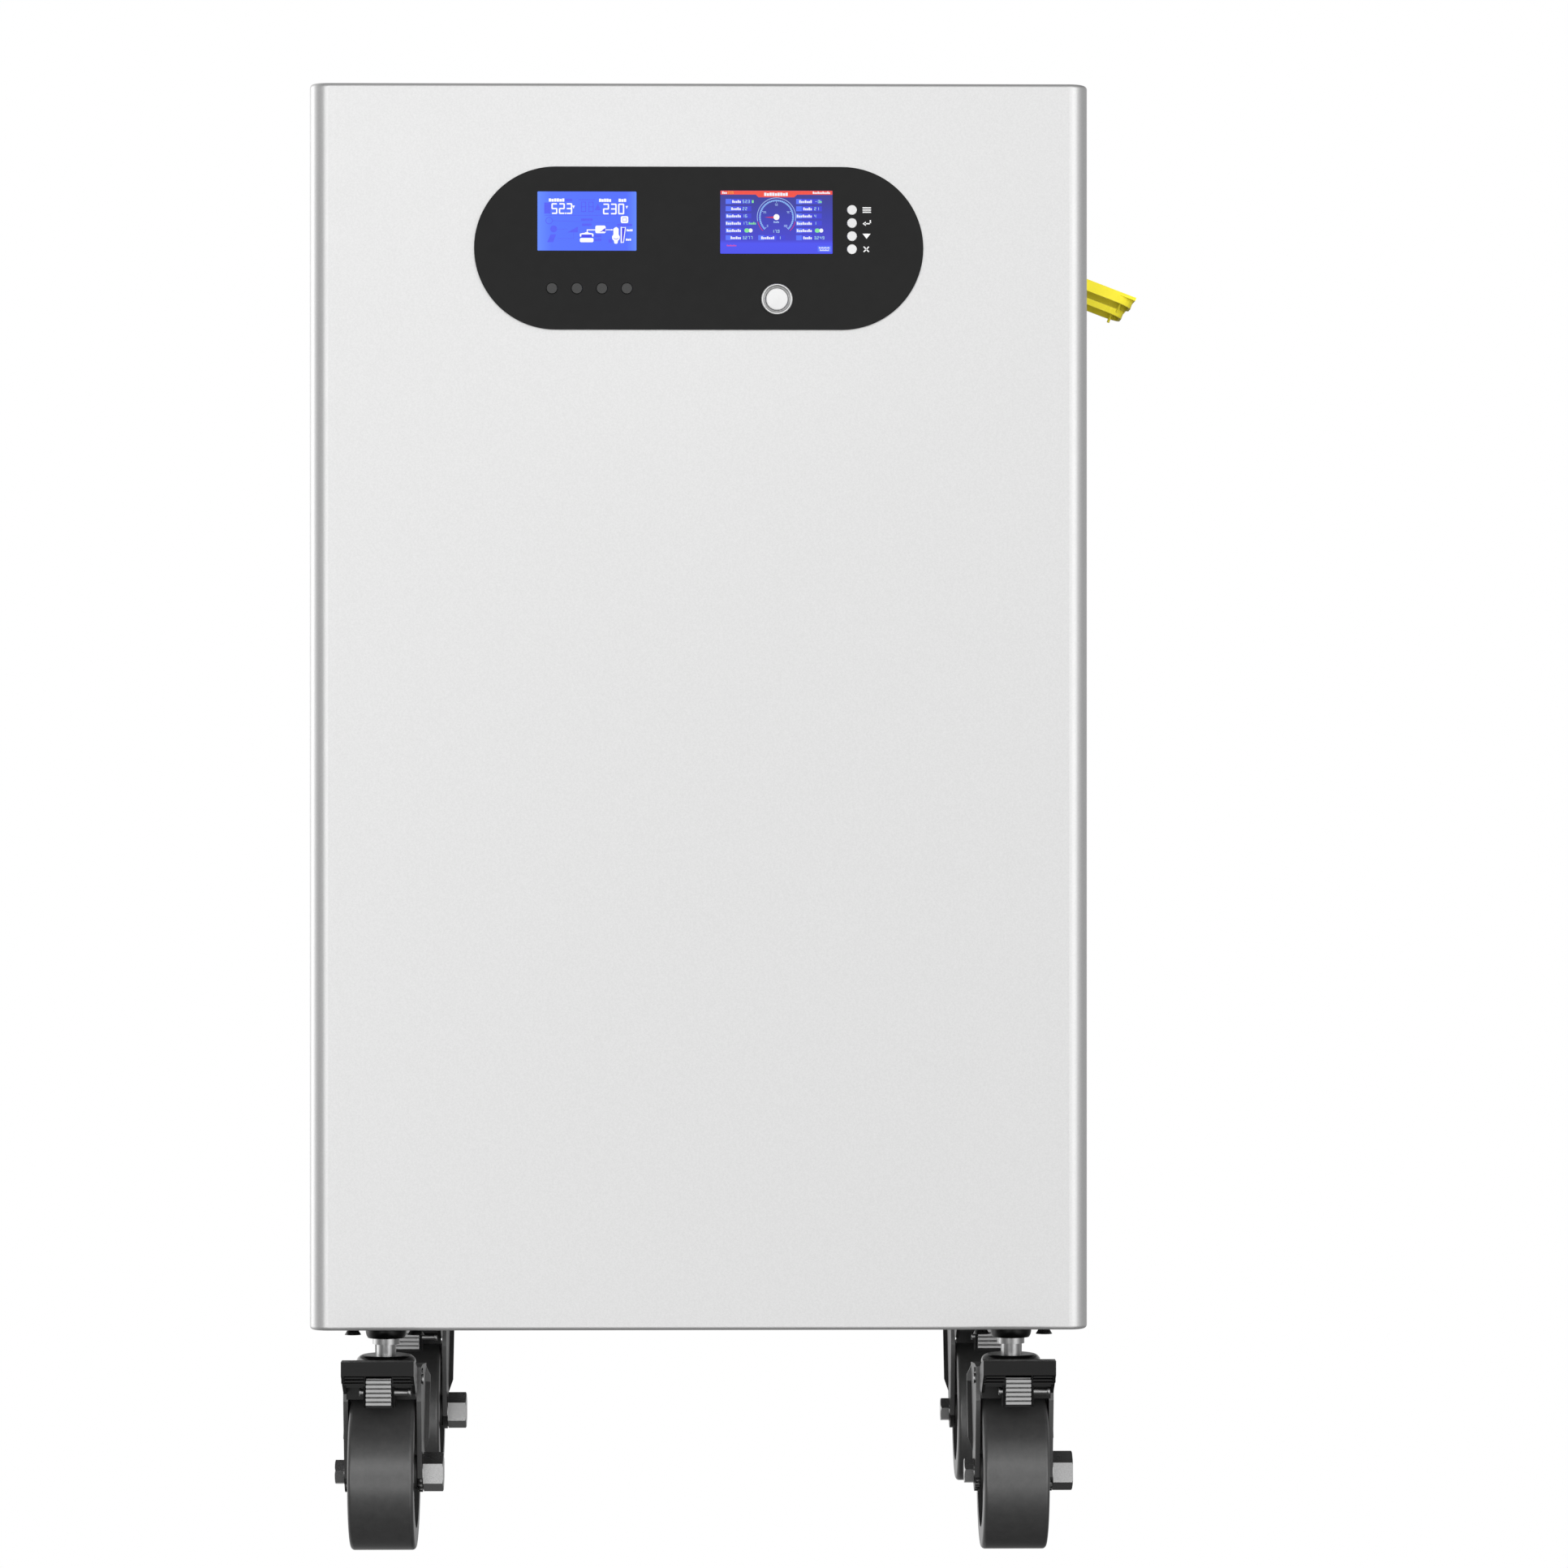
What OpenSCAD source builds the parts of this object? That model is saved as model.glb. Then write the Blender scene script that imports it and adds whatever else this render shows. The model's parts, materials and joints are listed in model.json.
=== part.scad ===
// Free-standing battery storage cabinet on four swivel casters, with a front control panel
// and two hinged outlet covers on the right wall. Millimetres, +Z up, front facing -Y.
// The origin is the middle of the whole object's footprint, on the floor.

/* [Cabinet] */
// Width of the cabinet, side to side
cabinet_w = 500; // [500:1:600]
// Depth of the cabinet, front to back
cabinet_d = 440; // [440:1:600]
// Height of the cabinet without its casters
cabinet_h = 800; // [800:1:1000]
// Height of the cabinet's underside above the floor
cabinet_z = 143.5; // [143.5:0.5:150]
// Radius of the four vertical corners
corner_r = 12.5; // [8:0.5:17]
// Radius of the top and bottom edges
edge_r = 2.5; // [2:0.5:4]
// Thickness of the sheet metal
sheet_t = 1.5; // [1.2:0.1:1.8]
// Width of the inward flange round the underside
flange_w = 18; // [14:1:18]

/* [Control panel] */
// Length of the stadium-shaped panel
panel_w = 288; // [280:1:320]
// Height of the panel, twice its end radius
panel_h = 104.4; // [100:0.2:110]
// Distance from the cabinet's top to the panel's middle
panel_drop = 106; // [80:1:300]
// How far the panel stands out of the front
panel_t = 2.2; // [1.5:0.1:3]
// Width of the inverter display window
lcd_w = 63.5; // [60:0.5:66]
// Height of the inverter display window
lcd_h = 38; // [34:0.5:40]
// Width of the battery display window
tft_w = 72.1; // [68:0.1:74]
// Height of the battery display window
tft_h = 40.6; // [36:0.1:42]
// Diameter of a round menu button
menu_d = 6.2; // [5:0.1:6.5]
// Diameter of a round setting button
setting_d = 6.8; // [6:0.1:9]
// Travel of the small buttons
button_travel = 1; // [0.5:0.1:1]
// Outer diameter of the power button's ring
power_ring_d = 20; // [19:0.5:24]
// Diameter of the power button's cap
power_cap_d = 14; // [12:0.5:14]
// Travel of the power button
power_travel = 1.5; // [1:0.1:2]

/* [Casters] */
// Radius of a wheel
wheel_r = 50; // [48:0.5:50]
// Width of a wheel's tread
wheel_w = 42; // [38:1:42]
// Distance of a kingpin from the cabinet's nearest walls
stem_inset = 47; // [47:1:60]
// How far a wheel's axle trails from its kingpin
trail = 21; // [20:1:24]
// Width over a fork's two legs
fork_w = 50; // [50:0.5:54]
// Thickness of a fork leg
leg_t = 3; // [2:0.5:3]
// How far a pedal's front edge is from its kingpin
pedal_reach = 99; // [90:1:105]
// Width of a pedal
pedal_w = 46; // [44:1:48]

/* [Outlet covers] */
// Width of an outlet cover
flap_w = 40; // [36:1:42]
// Distance from one cover's middle to the next
flap_pitch = 80; // [64:1:120]
// Angle of an open cover below the horizontal
flap_droop = 21; // [0:1:30]
// Height of the cover's hinge above the floor
flap_z = 832; // [830:1:850]

/* [Battery] */
// Width of a battery cell
cell_w = 174; // [160:1:180]
// Thickness of a battery cell
cell_t = 72; // [60:1:74]
// Height of a battery cell without its terminals
cell_h = 205; // [180:1:205]

/* [Hidden] */
$fn = 64;
eps = 0.01;
// Running clearance between a pin and its bore.
fit = 0.05;
// Clearance between a moving piece and the edge of its opening.
gap = 0.3;

cabinet_top = cabinet_z + cabinet_h;
front_y = -cabinet_d / 2;
rear_y = cabinet_d / 2;
wall_x = cabinet_w / 2;
panel_z = cabinet_top - panel_drop;

// Everything between the panel's front and the boards behind it, along the panel's outward axis.
panel_back = -sheet_t;
board_z = -11;
board_t = 1.6;
lcd_at = [-71.7, 17.3];
tft_at = [49.8, 16.8];
power_at = [50.1, -32.7];
menu_at = [for (i = [0:3]) [98.2, 24.6 - 8.4 * i]];
setting_at = [for (i = [0:3]) [-94.1 + 16 * i, -25.9]];
small_button_proud = 1;
power_bore_d = power_cap_d + 2 * gap;
power_barrel_d = power_bore_d + 2;

// Casters, counted front left, front right, rear left, rear right.
stem_x = wall_x - stem_inset;
stem_y = rear_y - stem_inset;
caster_at = [[-stem_x, -stem_y], [stem_x, -stem_y], [-stem_x, stem_y], [stem_x, stem_y]];
plate_t = 3;
plate_w = 56;
plate_top = cabinet_z + sheet_t;
cup_bottom = 134.6;
collar_bottom = 130.5;
leg_top = 120;
crown_top = 116;
crown_t = 4;
stem_r = 6.4;
screw_pitch = 40.6;
axle_r = 5;
leg_front = -45;
leg_back = 20;
leg_foot_r = 13;
pedal_pivot = [-40, 112];
pedal_pin_r = 2;
pedal_top = 129;
pedal_lip_bottom = 120;
pedal_tab_bottom = 106;
// The pedal's top is level at the front, then falls towards its pivot.
pedal_level = 12;
pedal_fall = 0.255;
// Distance from a fork leg's front edge to the pedal's side tabs, which lets the pedal lift.
pedal_relief = 2.2;
tyre_bore_r = 36;

// Outlet covers, drawn flat with the hinge axis at the origin and the lid along +X.
flap_at = [for (s = [-1, 1]) [wall_x + 5.5, s * flap_pitch / 2, flap_z]];
lid_top = 3;
lid_t = 2.1;
lid_tip = 40;
lid_root = 3.2;
rim_tip = 39.4;
rim_bottom = -4.3;
rim_t = 1.6;
rim_r = 13;
knuckle_r = 2.4;
knuckle_y = [12, 18];
hinge_pin_r = 1;
latch_u = 32;
latch_r = 0.9;
latch_end = -8.7;

// Battery cells stand in two tiers of two columns and four rows.
tier_z = [157, 392];
cell_gap = 2;
cell_columns = 2;
cell_rows = 4;
tray_t = 2;

// Rear cover, its fan and its cable entry.
cover_w = cabinet_w - 44;
cover_z = [cabinet_z + 32, cabinet_top - 32];
cover_lap = 8;
fan_at = [-90, 830];
fan_w = 120;
fan_t = 25;
fan_bore_r = 57;
entry_at = [130, 235];
entry_size = [84, 28];
grommet_t = 4;

// The whole object's box is centred on the origin.
tip_x = flap_at[0][0] + lid_tip * cos(flap_droop) + lid_top * sin(flap_droop);
nose_y = -stem_y - pedal_reach;
tail_y = rear_y + sheet_t + 2.2;
shift = [(wall_x - tip_x) / 2, -(nose_y + tail_y) / 2, 0];

// ---------- shared shapes ----------

// A flat rectangle with round corners, centred on the origin.
module rounded(w, d, r) {
    square([w - 2 * r, d], center = true);
    square([w, d - 2 * r], center = true);
    for (x = [-1, 1], y = [-1, 1])
        translate([x * (w / 2 - r), y * (d / 2 - r)])
            circle(r = r);
}

// A flat stadium, centred on the origin.
module stadium(w, h) {
    square([w - h, h], center = true);
    for (x = [-1, 1])
        translate([x * (w - h) / 2, 0])
            circle(d = h);
}

// Moves a shape drawn on the panel (X right, Y up, Z out of the front) to its place.
module on_panel() {
    translate([0, front_y, panel_z])
        rotate([90, 0, 0])
            children();
}

// Turns a flat outline drawn in X and Z into a plate from y0 to y1.
module plate_y(y0, y1) {
    translate([0, y1, 0])
        rotate([90, 0, 0])
            linear_extrude(y1 - y0)
                children();
}

// Turns a flat outline drawn in Y and Z into a plate from x0 to x1.
module plate_x(x0, x1) {
    translate([x0, 0, 0])
        rotate([90, 0, 90])
            linear_extrude(x1 - x0)
                children();
}

// A cylinder along X.
module rod_x(x0, x1, r) {
    translate([x0, 0, 0])
        rotate([0, 90, 0])
            cylinder(h = x1 - x0, r = r);
}

// A cylinder along Y.
module rod_y(y0, y1, r) {
    translate([0, y1, 0])
        rotate([90, 0, 0])
            cylinder(h = y1 - y0, r = r);
}

// A hexagon head along X, across its corners, with its outer end chamfered.
module hex_x(x0, x1, corners) {
    side = x1 > x0 ? 1 : -1;
    h = abs(x1 - x0);
    translate([x0, 0, 0])
        rotate([0, side * 90, 0])
            intersection() {
                cylinder(h = h, d = corners, $fn = 6);
                cylinder(h = h, r1 = corners / 2 + 2 * h, r2 = corners / 2 - 1);
            }
}

// Where a line from p touches a circle, on the side given by s.
function touch(p, c, r, s) =
    let (d = norm(c - p), a = atan2(p[1] - c[1], p[0] - c[0]) + s * acos(r / d))
    c + r * [cos(a), sin(a)];

// ---------- cabinet ----------

// A bent edge between a wall and the top or bottom sheet, swept round the cabinet.
module bent_edge() {
    module bend() {
        intersection() {
            difference() {
                circle(r = edge_r);
                circle(r = edge_r - sheet_t);
            }
            square(edge_r + 1);
        }
    }
    run_x = cabinet_w - 2 * corner_r;
    run_y = cabinet_d - 2 * corner_r;
    for (x = [0, 1], y = [0, 1])
        mirror([x, 0, 0])
            mirror([0, y, 0])
                translate([run_x / 2, run_y / 2, 0])
                    rotate_extrude(angle = 90)
                        translate([corner_r - edge_r, 0])
                            bend();
    for (x = [0, 1])
        mirror([x, 0, 0])
            translate([wall_x - edge_r, run_y / 2, 0])
                rotate([90, 0, 0])
                    linear_extrude(run_y)
                        bend();
    for (y = [0, 1])
        mirror([0, y, 0])
            translate([-run_x / 2, rear_y - edge_r, 0])
                rotate([90, 0, 90])
                    linear_extrude(run_x)
                        bend();
}

module cabinet_shell() {
    inner_r = corner_r - sheet_t;
    color([0.88, 0.88, 0.88])
        translate(shift)
            difference() {
                union() {
                    translate([0, 0, cabinet_z + edge_r])
                        linear_extrude(cabinet_h - 2 * edge_r)
                            difference() {
                                rounded(cabinet_w, cabinet_d, corner_r);
                                rounded(cabinet_w - 2 * sheet_t, cabinet_d - 2 * sheet_t, inner_r);
                            }
                    translate([0, 0, cabinet_top - edge_r])
                        bent_edge();
                    translate([0, 0, cabinet_z + edge_r])
                        mirror([0, 0, 1])
                            bent_edge();
                    translate([0, 0, cabinet_top - sheet_t])
                        linear_extrude(sheet_t)
                            rounded(cabinet_w - 2 * edge_r, cabinet_d - 2 * edge_r, corner_r - edge_r);
                    translate([0, 0, cabinet_z])
                        linear_extrude(sheet_t)
                            difference() {
                                rounded(cabinet_w - 2 * edge_r, cabinet_d - 2 * edge_r, corner_r - edge_r);
                                rounded(cabinet_w - 2 * flange_w, cabinet_d - 2 * flange_w, 2);
                            }
                }
                on_panel()
                    translate([0, 0, -5])
                        linear_extrude(10)
                            stadium(panel_w - 12, panel_h - 12);
                for (p = flap_at)
                    translate([wall_x - 5, p[1] - 17.5, flap_z - 37.5])
                        cube([10, 35, 41]);
                translate([0, rear_y - 5, (cover_z[0] + cover_z[1]) / 2])
                    cube([cover_w - 2 * cover_lap, 20, cover_z[1] - cover_z[0] - 2 * cover_lap], center = true);
                cover_screw_places()
                    rod_y(rear_y - 5, rear_y + 5, 1.8);
            }
}

module base_pan() {
    color([0.85, 0.85, 0.85])
        translate(shift)
            difference() {
                translate([0, 0, plate_top])
                    union() {
                        linear_extrude(2.5)
                            rounded(cabinet_w - 2 * edge_r - 1, cabinet_d - 2 * edge_r - 1, corner_r - edge_r - 0.5);
                        for (y = [-150, 150])
                            translate([-160, y - 8, 2.5 - eps])
                                cube([320, 16, 2]);
                    }
                each_screw()
                    cylinder(h = 400, r = 3.4, center = true);
                each_caster()
                    cylinder(h = 400, r = stem_r + 0.1, center = true);
            }
}

// ---------- rear ----------

module cover_screw_places() {
    x = cover_w / 2 - cover_lap / 2;
    z = [cover_z[0] + 20, (cover_z[0] + cover_z[1]) / 2, cover_z[1] - 20];
    for (sx = [-1, 1], h = z)
        translate([sx * x, 0, h])
            children();
}

module rear_cover() {
    color([0.86, 0.86, 0.86])
        translate(shift)
            difference() {
                plate_y(rear_y, rear_y + sheet_t)
                    difference() {
                        translate([0, (cover_z[0] + cover_z[1]) / 2])
                            rounded(cover_w, cover_z[1] - cover_z[0], 4);
                        translate(fan_at)
                            for (r = [16, 27, 38, 49])
                                difference() {
                                    circle(r = r + 6);
                                    circle(r = r);
                                    for (a = [45, 135])
                                        rotate(a)
                                            square([130, 7], center = true);
                                }
                        translate(entry_at)
                            rounded(entry_size[0], entry_size[1], 6);
                        for (x = [-120, 0, 120], i = [0:7])
                            translate([x, 420 + 16 * i])
                                stadium(90, 5);
                    }
                cover_screw_places()
                    rod_y(rear_y - 5, rear_y + 5, 2.2);
                fan_screw_places()
                    rod_y(rear_y - 5, rear_y + 5, 2.2);
            }
}

module fan_screw_places() {
    for (x = [-1, 1], z = [-1, 1])
        translate([fan_at[0] + x * 52.5, 0, fan_at[1] + z * 52.5])
            children();
}

// Screws of the rear cover and of the fan behind it.
module cover_screws() {
    face = rear_y + sheet_t;
    color([0.7, 0.7, 0.72])
        translate(shift) {
            cover_screw_places() {
                rod_y(rear_y - 8, face + 0.1, 1.7);
                difference() {
                    rod_y(face, face + 2.2, 3.8);
                    rod_y(face + 1, face + 5, 1.6, $fn = 6);
                }
            }
            fan_screw_places() {
                rod_y(rear_y - 20, face + 0.1, 1.9);
                difference() {
                    rod_y(face, face + 2.2, 3.8);
                    rod_y(face + 1, face + 5, 1.6, $fn = 6);
                }
            }
        }
}

module fan_frame() {
    y1 = rear_y - 0.1;
    y0 = y1 - fan_t;
    color([0.12, 0.12, 0.12])
        translate(shift)
            difference() {
                union() {
                    plate_y(y0, y1)
                        translate(fan_at)
                            difference() {
                                rounded(fan_w, fan_w, 6);
                                circle(r = fan_bore_r);
                            }
                    plate_y(y0, y0 + 4)
                        translate(fan_at) {
                            circle(r = 19);
                            for (a = [45, 135])
                                rotate(a)
                                    square([2 * fan_bore_r + 1, 5], center = true);
                        }
                }
                fan_screw_places()
                    rod_y(rear_y - 50, rear_y + 5, 2);
                translate([fan_at[0], 0, fan_at[1]])
                    rod_y(y0 - 1, y1, 2 + fit);
            }
}

module fan_rotor() {
    y0 = rear_y - fan_t + 5;
    color([0.15, 0.15, 0.15])
        translate(shift)
            translate([fan_at[0], 0, fan_at[1]]) {
                rod_y(y0 - 5, y0 + 1, 2);
                rod_y(y0, y0 + 17, 19.5);
                for (i = [0:6])
                    rotate([0, i * 360 / 7, 0])
                        translate([18, y0 + 8.5, 0])
                            rotate([38, 0, 0])
                                translate([0, -9, -0.8])
                                    cube([36.5, 18, 1.6]);
            }
}

module cable_grommet() {
    color([0.08, 0.08, 0.08])
        translate(shift) {
            difference() {
                union() {
                    plate_y(rear_y - 2, rear_y)
                        translate(entry_at)
                            rounded(entry_size[0] + 6, entry_size[1] + 6, 9);
                    plate_y(rear_y - eps, rear_y + sheet_t + eps)
                        translate(entry_at)
                            rounded(entry_size[0], entry_size[1], 6);
                    plate_y(rear_y + sheet_t, rear_y + sheet_t + 2)
                        translate(entry_at)
                            rounded(entry_size[0] + 6, entry_size[1] + 6, 9);
                }
                plate_y(rear_y - 5, rear_y + 10)
                    translate(entry_at)
                        rounded(entry_size[0] - grommet_t, entry_size[1] - grommet_t, 4);
            }
        }
}

// ---------- control panel ----------

module panel_holes() {
    translate(lcd_at)
        rounded(lcd_w, lcd_h, 0.6);
    translate(tft_at)
        rounded(tft_w, tft_h, 0.6);
    for (p = menu_at)
        translate(p)
            circle(d = menu_d + 2 * gap);
    for (p = setting_at)
        translate(p)
            circle(d = setting_d + 2 * gap);
    translate(power_at)
        circle(d = power_barrel_d + 0.2);
}

module control_panel() {
    color([0.17, 0.17, 0.17])
        translate(shift)
            on_panel()
                difference() {
                    union() {
                        linear_extrude(panel_t)
                            stadium(panel_w, panel_h);
                        translate([0, 0, panel_back])
                            linear_extrude(sheet_t + eps)
                                stadium(panel_w - 13, panel_h - 13);
                    }
                    translate([0, 0, panel_back - 1])
                        linear_extrude(panel_t + sheet_t + 2)
                            panel_holes();
                }
}

// A display: its window block, its housing and the board that also carries its buttons.
module display(at, w, h, board_at, board_w, board_h, buttons) {
    translate([at[0], at[1], panel_back - 0.1])
        linear_extrude(panel_t + sheet_t - 0.3)
            rounded(w - 0.2, h - 0.2, 0.5);
    translate([at[0] - w / 2 - 6, at[1] - h / 2 - 4, board_z + board_t - eps])
        cube([w + 12, h + 8, panel_back - board_z - board_t - 0.1]);
    translate([board_at[0] - board_w / 2, board_at[1] - board_h / 2, board_z])
        cube([board_w, board_h, board_t]);
    for (p = buttons)
        translate([p[0] - 3, p[1] - 3, board_z + board_t - eps])
            cube([6, 6, 4.6]);
}

module inverter_display() {
    color([0.35, 0.5, 1])
        translate(shift)
            on_panel()
                display(lcd_at, lcd_w, lcd_h, [-71, 3], 84, 78, setting_at);
}

module battery_display() {
    color([0.3, 0.3, 0.85])
        translate(shift)
            on_panel()
                display(tft_at, tft_w, tft_h, [56, 16], 98, 54, menu_at);
}

// A small round button with a retaining flange behind the panel.
module small_button(p, d) {
    back = panel_back - 0.3;
    on_panel()
        translate([p[0], p[1], 0]) {
            translate([0, 0, back - eps])
                cylinder(h = panel_t + small_button_proud - back, d = d);
            translate([0, 0, back - 1.2])
                cylinder(h = 1.2, d = d + 1.4);
        }
}

module menu_button(i) {
    color([0.95, 0.95, 0.95])
        translate(shift)
            small_button(menu_at[i], menu_d);
}

module setting_button(i) {
    color([0.27, 0.27, 0.27])
        translate(shift)
            small_button(setting_at[i], setting_d);
}

// Ring and threaded barrel of the power button, with its nut behind the sheet.
module power_bezel() {
    ring_r = power_ring_d / 2;
    bore_r = power_bore_d / 2;
    color([0.75, 0.75, 0.77])
        translate(shift)
            on_panel()
                translate([power_at[0], power_at[1], 0]) {
                    rotate_extrude()
                        polygon([[bore_r, -18], [power_barrel_d / 2, -18], [power_barrel_d / 2, panel_t],
                                 [ring_r, panel_t], [ring_r, panel_t + 1.6], [ring_r - 0.5, panel_t + 2],
                                 [ring_r - 1, panel_t + 2], [bore_r, panel_t + 0.6]]);
                    translate([0, 0, panel_back - 4])
                        difference() {
                            cylinder(h = 3.9, d = power_barrel_d + 6, $fn = 6);
                            translate([0, 0, -1])
                                cylinder(h = 6, d = power_barrel_d + 0.2);
                        }
                }
}

module power_button() {
    cap_r = power_cap_d / 2;
    color([0.93, 0.93, 0.93])
        translate(shift)
            on_panel()
                translate([power_at[0], power_at[1], 0])
                    rotate_extrude()
                        polygon([[0, -14], [cap_r, -14], [cap_r, panel_t + 1.4],
                                 [cap_r - 0.6, panel_t + 1.9], [0, panel_t + 1.9]]);
}

// ---------- outlets ----------

// Sockets behind the covers: a flange on the wall, a housing with a recess, two contacts,
// hinge ears and the hole for the cover's latch pin.
module outlet_sockets() {
    recess_z = [flap_z - 27, flap_z - 4];
    color([0.1, 0.1, 0.1])
        translate(shift)
            for (p = flap_at)
                translate([0, p[1], 0]) {
                    difference() {
                        union() {
                            plate_x(wall_x, wall_x + 1)
                                translate([0, flap_z - 18])
                                    rounded(46, 54, 3);
                            translate([wall_x - 28, -17, flap_z - 37])
                                cube([28 + eps, 34, 40]);
                        }
                        translate([wall_x - 14, -13, recess_z[0]])
                            cube([20, 26, recess_z[1] - recess_z[0]]);
                        translate([wall_x - 6, -2, flap_z - latch_u - 3])
                            cube([10, 4, 5]);
                    }
                    for (y = [-6.5, 6.5])
                        translate([0, y, (recess_z[0] + recess_z[1]) / 2])
                            rod_x(wall_x - 14 - eps, wall_x - 6, 2);
                    for (s = [-1, 1])
                        difference() {
                            translate([0, s * 9, 0])
                                union() {
                                    translate([wall_x + 1 - eps, -2, flap_z - knuckle_r])
                                        cube([4.5 + eps, 4, 2 * knuckle_r]);
                                    translate([p[0], 0, flap_z])
                                        rod_y(-2, 2, knuckle_r);
                                }
                            translate([p[0], 0, flap_z])
                                rod_y(-20, 20, hinge_pin_r + fit);
                        }
                }
}

module flap_hinge_pins() {
    color([0.7, 0.7, 0.72])
        translate(shift)
            for (p = flap_at)
                translate(p)
                    rod_y(-19, 19, hinge_pin_r);
}

// Plan outline of a cover's rim: square at the hinge, round at the tip.
module rim_outline(inset) {
    w = flap_w / 2 - inset;
    tip = rim_tip - inset;
    r = rim_r - inset;
    translate([-1 + inset, -w])
        square([tip - r + 1 - inset, 2 * w]);
    translate([0, -w + r])
        square([tip, 2 * w - 2 * r]);
    for (y = [-1, 1])
        translate([tip - r, y * (w - r)])
            circle(r = r);
}

module outlet_flap(i) {
    color([1, 0.9, 0.2])
        translate(shift)
            translate(flap_at[i])
                rotate([0, flap_droop, 0])
                    difference() {
                        union() {
                            translate([lid_root, -flap_w / 2, lid_top - lid_t])
                                cube([lid_tip - lid_root, flap_w, lid_t]);
                            translate([0, 0, rim_bottom])
                                linear_extrude(lid_top - lid_t - rim_bottom + eps)
                                    difference() {
                                        rim_outline(0);
                                        translate([lid_root - 10, 0])
                                            square([20, flap_w - 2 * rim_t], center = true);
                                        rim_outline(rim_t);
                                    }
                            for (s = [0, 1])
                                mirror([0, s, 0]) {
                                    rod_y(knuckle_y[0], knuckle_y[1], knuckle_r);
                                    translate([0, knuckle_y[0], lid_top - lid_t])
                                        cube([lid_root + 1, knuckle_y[1] - knuckle_y[0], lid_t - 0.6]);
                                }
                            translate([latch_u, 0, latch_end])
                                cylinder(h = lid_top - lid_t - latch_end + eps, r = latch_r);
                        }
                        rod_y(-knuckle_y[1] - 1.4, knuckle_y[1] + 1.4, hinge_pin_r + fit);
                    }
}

// ---------- battery and electronics ----------

module battery_racks() {
    w = cell_columns * (cell_w + cell_gap) + 20;
    d = cell_rows * (cell_t + cell_gap) + 20;
    color([0.75, 0.75, 0.75])
        translate(shift) {
            for (z = tier_z)
                translate([-w / 2, -d / 2, z - tray_t])
                    difference() {
                        cube([w, d, 30]);
                        translate([tray_t, tray_t, tray_t])
                            cube([w - 2 * tray_t, d - 2 * tray_t, 40]);
                    }
            for (x = [-1, 1], y = [-1, 1])
                translate([x * (w / 2 + 7) - 7, y * (d / 2 - 20) - 12, plate_top + 4.6])
                    cube([14, 24, tier_z[1] + 27 - plate_top]);
        }
}

module each_cell() {
    for (z = tier_z, c = [0:cell_columns - 1], r = [0:cell_rows - 1])
        translate([(c - (cell_columns - 1) / 2) * (cell_w + cell_gap),
                   (r - (cell_rows - 1) / 2) * (cell_t + cell_gap), z + 0.1])
            children();
}

module battery_cells() {
    color([0.2, 0.35, 0.7])
        translate(shift)
            each_cell() {
                translate([-cell_w / 2, -cell_t / 2, 0])
                    cube([cell_w, cell_t, cell_h]);
                for (x = [-1, 1])
                    translate([x * cell_w * 0.36, 0, cell_h - eps])
                        cylinder(h = 4, r = 9);
            }
}

// Links that join the cells in series, row to row and across at the ends.
module cell_busbars() {
    pitch_y = cell_t + cell_gap;
    pole_x = cell_w * 0.36;
    column_x = (cell_w + cell_gap) / 2;
    color([0.8, 0.45, 0.25])
        translate(shift)
            for (z = tier_z)
                translate([0, 0, z + cell_h + 4.2]) {
                    for (s = [-1, 1], r = [-1, 1])
                        translate([s * column_x - pole_x - 10, r * pitch_y - pitch_y / 2 - 10, 0])
                            cube([20, pitch_y + 20, 2]);
                    for (s = [-1, 1])
                        translate([s * column_x + pole_x - 10, -pitch_y / 2 - 10, 0])
                            cube([20, pitch_y + 20, 2]);
                    translate([-column_x + pole_x - 10, 1.5 * pitch_y - 10, 0])
                        cube([2 * column_x - 2 * pole_x + 20, 20, 2]);
                }
}

// Two power leads that rise from the cells to the fuse and to the inverter.
module battery_cables() {
    r = 5;
    module lead(x, y, z0, z1, reach) {
        translate([x, y, z0])
            cylinder(h = z1 - z0, r = r);
        translate([x, y, z1])
            sphere(r = r);
        translate([x, y, z1])
            rod_x(0, reach, r);
    }
    base = tier_z[1] + cell_h + 6.3;
    color([0.7, 0.1, 0.1])
        translate(shift) {
            lead(-150, -110, base, 645, 45);
            lead(150, -110, base, 630, 24.9);
        }
}

module main_fuse() {
    color([0.15, 0.15, 0.15])
        translate(shift)
            translate([175, -145, 615])
                union() {
                    cube([40, 70, 30]);
                    translate([8, 10, 30 - eps])
                        cube([24, 50, 12]);
                }
}

module bms_board() {
    color([0.05, 0.35, 0.15])
        translate(shift)
            translate([-110, -185, 625]) {
                cube([220, 2, 120]);
                for (i = [0:9])
                    translate([8 + 21 * i, 2 - eps, 20])
                        cube([12, 5, 10]);
                translate([20, 2 - eps, 50])
                    cube([180, 12, 50]);
            }
}

// The inverter's board, its finned heat sink and its transformer.
module inverter_module() {
    color([0.6, 0.6, 0.62])
        translate(shift)
            translate([-105, -90, 640]) {
                cube([250, 8, 250]);
                for (i = [0:11])
                    translate([6 + 21 * i, 8 - eps, 0])
                        cube([4, 40, 250]);
                translate([0, -12, 0])
                    cube([250, 2, 250]);
                for (x = [20, 150])
                    translate([x, -10 - eps, 60])
                        cube([60, 10 + 2 * eps, 60]);
                translate([70, 60, 0])
                    cube([110, 90, 100]);
                translate([90, 47, 20])
                    cube([70, 14, 60]);
            }
}

// ---------- casters ----------

module each_caster() {
    for (p = caster_at)
        translate([p[0], p[1], 0])
            children();
}

module each_screw() {
    each_caster()
        for (x = [-1, 1], y = [-1, 1])
            translate([x * screw_pitch / 2, y * screw_pitch / 2, 0])
                children();
}

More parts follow.
